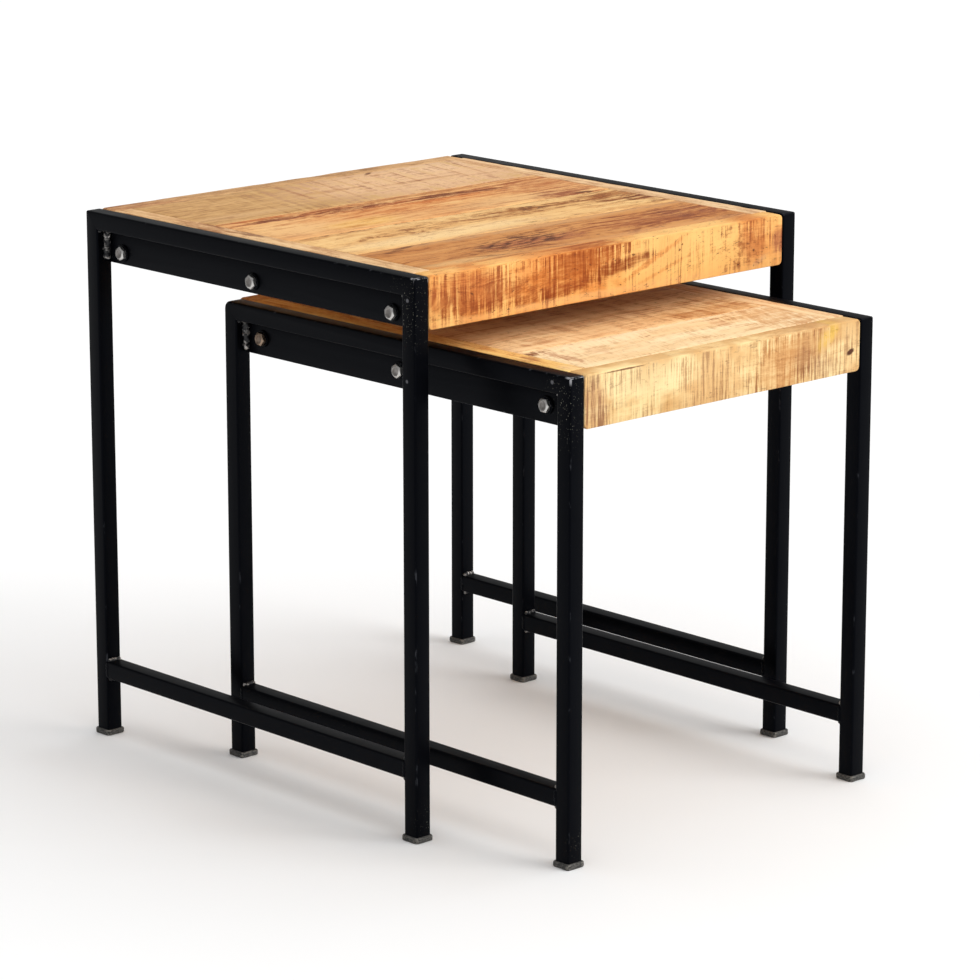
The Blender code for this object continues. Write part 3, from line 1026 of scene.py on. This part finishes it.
# %% [markdown]
# The low stretcher butts between the legs, and a flat bar closes the space under the rail. The bar
# is drilled for three bolts. Both are boxes with their edges rounded, the stretcher like the tube
# it is cut from and the bar only slightly.

# %% Stretchers and flat bars
BAR_ROUND = 0.0006
HOLE_RADIUS = 0.0035
BIT_LENGTH = 0.08
QUARTER = Matrix.Rotation(math.pi / 2, 3, "Y")
BOLTS = ("rear", "middle", "front")


def box_middle(node):
    low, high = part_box(node)
    return (low + high) / 2


def drill(shape, table, side):
    """Bores the bolt holes of one side through a shape."""
    for place in BOLTS:
        centre = box_middle(f"{table}_{side}_{place}_bolt")
        bit = bmesh.new()
        bmesh.ops.create_cone(
            bit, cap_ends=True, segments=24, radius1=HOLE_RADIUS, radius2=HOLE_RADIUS, depth=BIT_LENGTH
        )
        bmesh.ops.rotate(bit, cent=(0, 0, 0), matrix=QUARTER, verts=bit.verts)
        bmesh.ops.translate(bit, vec=centre, verts=bit.verts)
        shape = combine(shape, bit, "DIFFERENCE")
    return shape


for table in TABLES:
    for side in SIDES:
        for part, width, steps in (("stretcher", TUBE_ROUND, 4), ("flat_bar", BAR_ROUND, 2)):
            node = f"{table}_{side}_{part}"
            low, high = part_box(node)
            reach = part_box(f"{table}_{side}_front_leg")[1].y - low.y
            solid = box_between(low + Vector((0, reach, 0)), high - Vector((0, reach, 0)))
            along = [e for e in solid.edges if abs(e.verts[0].co.y - e.verts[1].co.y) > 0.01]
            round_edges(solid, along, width, steps)
            if part == "flat_bar":
                solid = drill(solid, table, side)
            finish_piece(solid, f"{node}_steel", table, paints[table], [node])
print("stretchers and bars:", [name for name in made if name.endswith("_steel")][:2], "and so on")

# %% [markdown]
# ## Weld beads
# A stick weld is a row of frozen puddles, each lapping the last. One bead is a thin round bar cut
# into many rings. Each ring swells and dips with the puddles, leans a little to one side, and the
# bar tapers at both ends. Beads hold the flat bars to the legs, close the inner corner of each
# mitre, and run round the ends of the stretchers, where the outer ones were ground almost flat.

# %% One weld bead
PUDDLE = 0.0034
LONG_PUDDLE = 0.0068
RINGS_PER_PUDDLE = 6
FEWEST_RINGS = 30
BEAD_SIDES = 14
LUMPS_PER_METRE = 260


def bead(start, end, radius, seed, flat=None, puddle=PUDDLE):
    """A weld run from start to end. flat is (axis, share): the run is pressed thin along axis."""
    run = end - start
    length = run.length
    rings = max(FEWEST_RINGS, round(length / puddle * RINGS_PER_PUDDLE))
    shape = bmesh.new()
    bmesh.ops.create_cone(
        shape, cap_ends=True, cap_tris=True, segments=BEAD_SIDES,
        radius1=radius, radius2=radius, depth=length,
    )
    for ring in range(1, rings):
        everything = shape.verts[:] + shape.edges[:] + shape.faces[:]
        level = Vector((0, 0, length * (ring / rings - 0.5)))
        bmesh.ops.bisect_plane(shape, geom=everything, dist=1e-8, plane_co=level, plane_no=(0, 0, 1))
    for vert in shape.verts:
        share = vert.co.z / length + 0.5
        puddles = share * length / puddle + 0.35 * noise.noise(Vector((share * 9, seed, 0)))
        swell = 0.84 + 0.26 * math.sin(math.pi * (puddles % 1.0))
        lump = 1 + 0.34 * noise.noise(vert.co * LUMPS_PER_METRE + Vector((seed, 2 * seed, 0)))
        taper = math.sqrt(max(0.0, 1 - abs(2 * share - 1) ** 7)) * 0.85 + 0.15
        vert.co.x *= swell * lump * taper
        vert.co.y *= swell * lump * taper
        vert.co.x += radius * 0.22 * noise.noise(Vector((share * 7, 0, seed)))
    turn = run.to_track_quat("Z", "Y").to_matrix()
    bmesh.ops.rotate(shape, cent=(0, 0, 0), matrix=turn, verts=shape.verts)
    if flat:
        axis, amount = flat
        bmesh.ops.scale(shape, vec=[amount if a else 1 for a in axis], verts=shape.verts)
    bmesh.ops.translate(shape, vec=(start + end) / 2, verts=shape.verts)
    return shape


def join(shapes):
    """Several closed shapes in one mesh, kept as separate shells."""
    whole = bmesh.new()
    for shape in shapes:
        mesh = bpy.data.meshes.new("joined")
        shape.to_mesh(mesh)
        shape.free()
        whole.from_mesh(mesh)
        bpy.data.meshes.remove(mesh)
    return whole


print("a bead has", RINGS_PER_PUDDLE, "rings to each puddle")

# %% [markdown]
# Every joint gets its own piece of weld, set out from the boxes of the two parts that it joins.
# A run lies partly sunk in both parts: how far its middle stands off the leg, and how far it stands
# out of the other part, are counted in its own radii.

# %% Weld every joint
Weld = namedtuple("Weld", "radius off_leg stands_out")
BAR_WELD = Weld(0.0034, 0.75, 0.55)
CORNER_WELD = Weld(0.0016, 0.5, 0.3)
STRETCHER_WELD = Weld(0.0021, 0.45, 0.3)
GROUND_SHARE = 0.30
GROUND_SUNK = 0.0003
END_GAP = 0.0012


def bar_weld(table, side, end, joint, seed):
    """A long upright run that holds the flat bar to its leg."""
    sign, way = SIDES[side], ENDS[end]
    low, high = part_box(f"{table}_{side}_flat_bar")
    x = (low.x if sign < 0 else high.x) + sign * BAR_WELD.radius * BAR_WELD.stands_out
    y = joint - way * BAR_WELD.radius * BAR_WELD.off_leg
    ends = Vector((x, y, low.z + 0.002)), Vector((x, y, high.z))
    run = bead(*ends, BAR_WELD.radius, seed + way, puddle=LONG_PUDDLE)
    finish_piece(run, f"{table}_{side}_{end}_bar_weld", table, weld_finish)


def corner_weld(table, side, end, joint, x0, x1, seed):
    """A short level run in the inner corner between leg and rail."""
    way = ENDS[end]
    rail_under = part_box(f"{table}_{side}_flat_bar")[1].z
    y = joint - way * CORNER_WELD.radius * CORNER_WELD.off_leg
    z = rail_under - CORNER_WELD.radius * CORNER_WELD.stands_out
    run = bead(Vector((x0, y, z)), Vector((x1, y, z)), CORNER_WELD.radius, seed + 3 * way)
    finish_piece(run, f"{table}_{side}_{end}_corner_weld", table, weld_finish)


def stretcher_welds(table, side, end, joint, x0, x1, seed):
    """Level runs under and over the stretcher's end, and two upright ones ground nearly flat."""
    way = ENDS[end]
    radius = STRETCHER_WELD.radius
    low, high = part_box(f"{table}_{side}_stretcher")
    y = joint - way * radius * STRETCHER_WELD.off_leg
    proud = radius * STRETCHER_WELD.stands_out
    runs = [
        bead(Vector((x0, y, level)), Vector((x1, y, level)), radius, seed + 5 * way + step)
        for step, level in enumerate((low.z - proud, high.z + proud))
    ]
    finish_piece(join(runs), f"{table}_{side}_{end}_stretcher_weld", table, weld_finish)
    ground = [
        bead(
            Vector((face, joint, low.z + 0.001)), Vector((face, joint, high.z - 0.001)),
            radius, seed + 7 * way + step, flat=((1, 0, 0), GROUND_SHARE),
        )
        for step, face in enumerate((low.x + GROUND_SUNK, high.x - GROUND_SUNK))
    ]
    finish_piece(join(ground), f"{table}_{side}_{end}_ground_weld", table, paints[table])


for number, (table, side) in enumerate((t, s) for t in TABLES for s in SIDES):
    seed = 11.0 * number + 1.7
    for end, way in ENDS.items():
        leg_low, leg_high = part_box(f"{table}_{side}_{end}_leg")
        joint = leg_low.y if way > 0 else leg_high.y
        x0, x1 = leg_low.x + END_GAP, leg_high.x - END_GAP
        bar_weld(table, side, end, joint, seed)
        corner_weld(table, side, end, joint, x0, x1, seed)
        stretcher_welds(table, side, end, joint, x0, x1, seed)
print(sum("weld" in name for name in made), "welds")

# %% [markdown]
# ## Foot pads
# Each leg stands on a grey pad whose plug pushes up into the tube. The pad is a little wider than
# the tube and soft-edged. It is a box: first its uprights are rounded, then its rims. A slow noise
# makes it slightly lumpy, as a soft moulding is after some use. The plug is a plain box inside the
# tube, united with the pad by a Boolean, because an inset would fold over at the pad's round
# corners.

# %% Foot pads
PAD_UPRIGHTS = 0.0032
PAD_RIM = 0.0014
PAD_LUMP = 0.00045
PAD_LUMPS_PER_METRE = 190
LONG_EDGE = 0.006
PLUG_GAP = 0.0004


def foot(table, side, end):
    node = f"{table}_{side}_{end}_foot"
    low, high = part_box(node)
    tube_low, tube_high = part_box(f"{table}_{side}_{end}_leg")
    pad = box_between(low, Vector((high.x, high.y, tube_low.z)))
    uprights = [e for e in pad.edges if abs(e.verts[0].co.z - e.verts[1].co.z) > SAME]
    round_edges(pad, uprights, PAD_UPRIGHTS, 4)
    rims = [e for e in pad.edges if abs(e.verts[0].co.z - e.verts[1].co.z) < SAME]
    round_edges(pad, rims, PAD_RIM, 3)
    long_edges = [e for e in pad.edges if e.calc_length() > LONG_EDGE]
    bmesh.ops.subdivide_edges(pad, edges=long_edges, cuts=4, use_grid_fill=True)
    for vert in pad.verts:
        if vert.co.z < tube_low.z - SAME:
            push = noise.noise_vector(vert.co * PAD_LUMPS_PER_METRE) * PAD_LUMP
            vert.co += Vector((push.x, push.y, push.z * 0.5))
            vert.co.z = max(vert.co.z, low.z)
    inset = Vector((1, 1, 0)) * (TUBE_WALL + PLUG_GAP)
    plug_low = Vector((tube_low.x, tube_low.y, low.z + PAD_RIM)) + inset
    plug_high = Vector((tube_high.x, tube_high.y, high.z)) - inset
    pad = combine(pad, box_between(plug_low, plug_high), "UNION")
    finish_piece(pad, f"{node}_pad", table, pad_finish, [node])


for table in TABLES:
    for side in SIDES:
        for end in ENDS:
            foot(table, side, end)
print(sum(name.endswith("_pad") for name in made), "feet")

# %% [markdown]
# ## Bolts and washers
# A hexagon head is turned on a lathe before it is cut from its bar: its outer face is round with a
# faint raised rim, and the six corners fall away in curves. Crossing a hexagonal bar with a turned
# blank gives exactly those curves, so the head is a Boolean of the two. The shank is united with
# it. The washer is a small turned ring, painted black with the frame.

# %% Bolt and washer shapes
HEAD_HEIGHT = 0.0041
HEAD_FLATS = 0.0112
WASHER_THICK = 0.0014
WASHER_RADIUS = 0.0080
SHANK_RADIUS = 0.0030
TIP_LENGTH = 0.004
TURNED_SIDES = 72


def turned(profile, closed=False):
    """A shape spun round the x axis. profile holds (along, radius) points."""
    shape = bmesh.new()
    points = [shape.verts.new((x, 0, radius)) for x, radius in profile]
    pairs = list(zip(points, points[1:])) + ([(points[-1], points[0])] if closed else [])
    edges = [shape.edges.new(pair) for pair in pairs]
    bmesh.ops.spin(
        shape, geom=points + edges, cent=(0, 0, 0), axis=(1, 0, 0), angle=2 * math.pi, steps=TURNED_SIDES,
        use_merge=True,
    )
    bmesh.ops.remove_doubles(shape, verts=shape.verts, dist=1e-7)
    bmesh.ops.recalc_face_normals(shape, faces=shape.faces)
    return shape


def bolt_shape(length):
    """A bolt lying along x, its head's outer face at 0 and its tip at length."""
    corner = HEAD_FLATS / math.sqrt(3)
    hexagon = bmesh.new()
    bmesh.ops.create_cone(
        hexagon, cap_ends=True, segments=6, radius1=corner, radius2=corner, depth=2 * HEAD_HEIGHT
    )
    bmesh.ops.rotate(hexagon, cent=(0, 0, 0), matrix=QUARTER, verts=hexagon.verts)
    bmesh.ops.translate(hexagon, vec=(HEAD_HEIGHT / 2, 0, 0), verts=hexagon.verts)
    sunk_face = ((0.0004, 0), (0.00035, 0.0033))
    raised_rim = ((0.00005, 0.0039), (0, 0.0042), (0.0002, 0.0046))
    slope = ((0.0010, 0.0056), (0.0019, 0.0070))
    blank = turned((*sunk_face, *raised_rim, *slope, (HEAD_HEIGHT, 0.0070), (HEAD_HEIGHT, 0)))
    head = combine(hexagon, blank, "INTERSECT")
    shank = turned((
        (HEAD_HEIGHT / 2, 0), (HEAD_HEIGHT / 2, SHANK_RADIUS),
        (length - TIP_LENGTH, SHANK_RADIUS), (length, 0),
    ))
    return combine(head, shank, "UNION")


def washer_shape():
    inner, outer, soft = 0.0034, WASHER_RADIUS, 0.0004
    return turned((
        (0, inner), (0, outer - soft), (soft, outer), (WASHER_THICK, outer), (WASHER_THICK, inner),
    ), closed=True)


print("head", HEAD_FLATS * 1000, "mm across its flats")

# %% [markdown]
# All the bolts are the same, but on one side of a table no two stopped at the same angle. Each is
# turned by the amount given for its table and place, then faced outwards on its side of the table.

# %% Place bolts and washers
def set_on_side(shape, table, side, place, turn, start):
    """Moves a shape made along x onto a bolt's axis, start metres in from the head's face."""
    low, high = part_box(f"{table}_{side}_{place}_bolt")
    centre = box_middle(f"{table}_{side}_{place}_bolt")
    sign = SIDES[side]
    outside = low.x if sign < 0 else high.x
    facing = Matrix.Rotation(math.pi if sign > 0 else 0, 4, "Z")
    where = Matrix.Translation((outside - sign * start, centre.y, centre.z))
    bmesh.ops.transform(shape, matrix=where @ facing @ Matrix.Rotation(turn, 4, "X"), verts=shape.verts)
    return shape


TURNED_BY = {"large": (33, 20, 16), "small": (8, 25, 1)}
for table in TABLES:
    for side in SIDES:
        for place, turn in zip(BOLTS, TURNED_BY[table]):
            node = f"{table}_{side}_{place}_bolt"
            low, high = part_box(node)
            screw = set_on_side(bolt_shape(high.x - low.x), table, side, place, math.radians(turn), 0.0)
            metal = browned_finish if node == "small_left_rear_bolt" else zinc_finish
            finish_piece(screw, f"{node}_zinc", table, metal, [node])
            ring = set_on_side(washer_shape(), table, side, place, 0.0, HEAD_HEIGHT)
            finish_piece(ring, f"{table}_{side}_{place}_washer", table, paints[table], [node])
print(sum(name.endswith("_zinc") for name in made), "bolts, each with a washer")

# %% [markdown]
# ## Boards
# A board starts as a box sliced every centimetre or so, which gives it enough points to be less
# than perfect. Its edges are rounded, then the whole surface is made to wander by a tenth of a
# millimetre or two, as hand-planed wood does, and the upper edges are rubbed back here and there.

# %% Boards
SLICE = 0.012
BOARD_ROUND = 0.0009
RIM_END_ROUND = 0.0045
WANDER = 0.00016
WANDERS_PER_METRE = 22
RUB = 0.0007
RUBS_PER_METRE = 45
NEAR_EDGE = 0.0015


def board(table, part, seed):
    """One board in its node's box. The rims' outer corners are rounded more than the rest."""
    node = f"{table}_{part}"
    low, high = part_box(node)
    shape = box_between(low, high)
    if part in ("front_rim_board", "rear_rim_board"):
        ends = [e for e in shape.edges if abs(e.verts[0].co.y - e.verts[1].co.y) > 0.001]
        round_edges(shape, ends, RIM_END_ROUND, 5)
    round_edges(shape, [e for e in shape.edges if e.calc_face_angle(0.0) > 1.0], BOARD_ROUND, 3)
    for axis in (0, 1):
        span = high[axis] - low[axis]
        count = max(2, round(span / SLICE))
        normal = Vector([1.0 if axis == other else 0.0 for other in range(3)])
        for number in range(1, count):
            point = Vector(low) + normal * span * number / count
            everything = shape.verts[:] + shape.edges[:] + shape.faces[:]
            bmesh.ops.bisect_plane(shape, geom=everything, dist=1e-7, plane_co=point, plane_no=normal)
    for vert in shape.verts:
        place = vert.co + Vector((seed, 0, 0))
        push = noise.noise_vector(place * WANDERS_PER_METRE) * WANDER
        near_top = vert.co.z > high.z - NEAR_EDGE
        rim = min(vert.co.x - low.x, high.x - vert.co.x, vert.co.y - low.y, high.y - vert.co.y)
        if near_top and rim < NEAR_EDGE:
            push.z -= RUB * max(0.0, noise.noise(place * RUBS_PER_METRE) - 0.1)
        vert.co += Vector((push.x * 0.4, push.y * 0.4, min(push.z, 0.0001)))
    return shape


for table, boards in TOP_WOOD.items():
    for number, part in enumerate(boards):
        node = f"{table}_{part}"
        wood = board(table, part, number * 3.1)
        if part in ("left_rim_board", "right_rim_board"):
            wood = drill(wood, table, part.split("_")[0])
        finish_piece(wood, f"{node}_mango", table, wood_finish[table, part], [node])
print(sum(name.endswith("_mango") for name in made), "boards")

# %% [markdown]
# ## Last checks
# A piece should have no open edge, so the pieces with open edges are gathered and printed.

# %% Open edges
leaky = {name: count for name, count in made.items() if count}
print(len(made), "pieces; open edges in", leaky or "none")
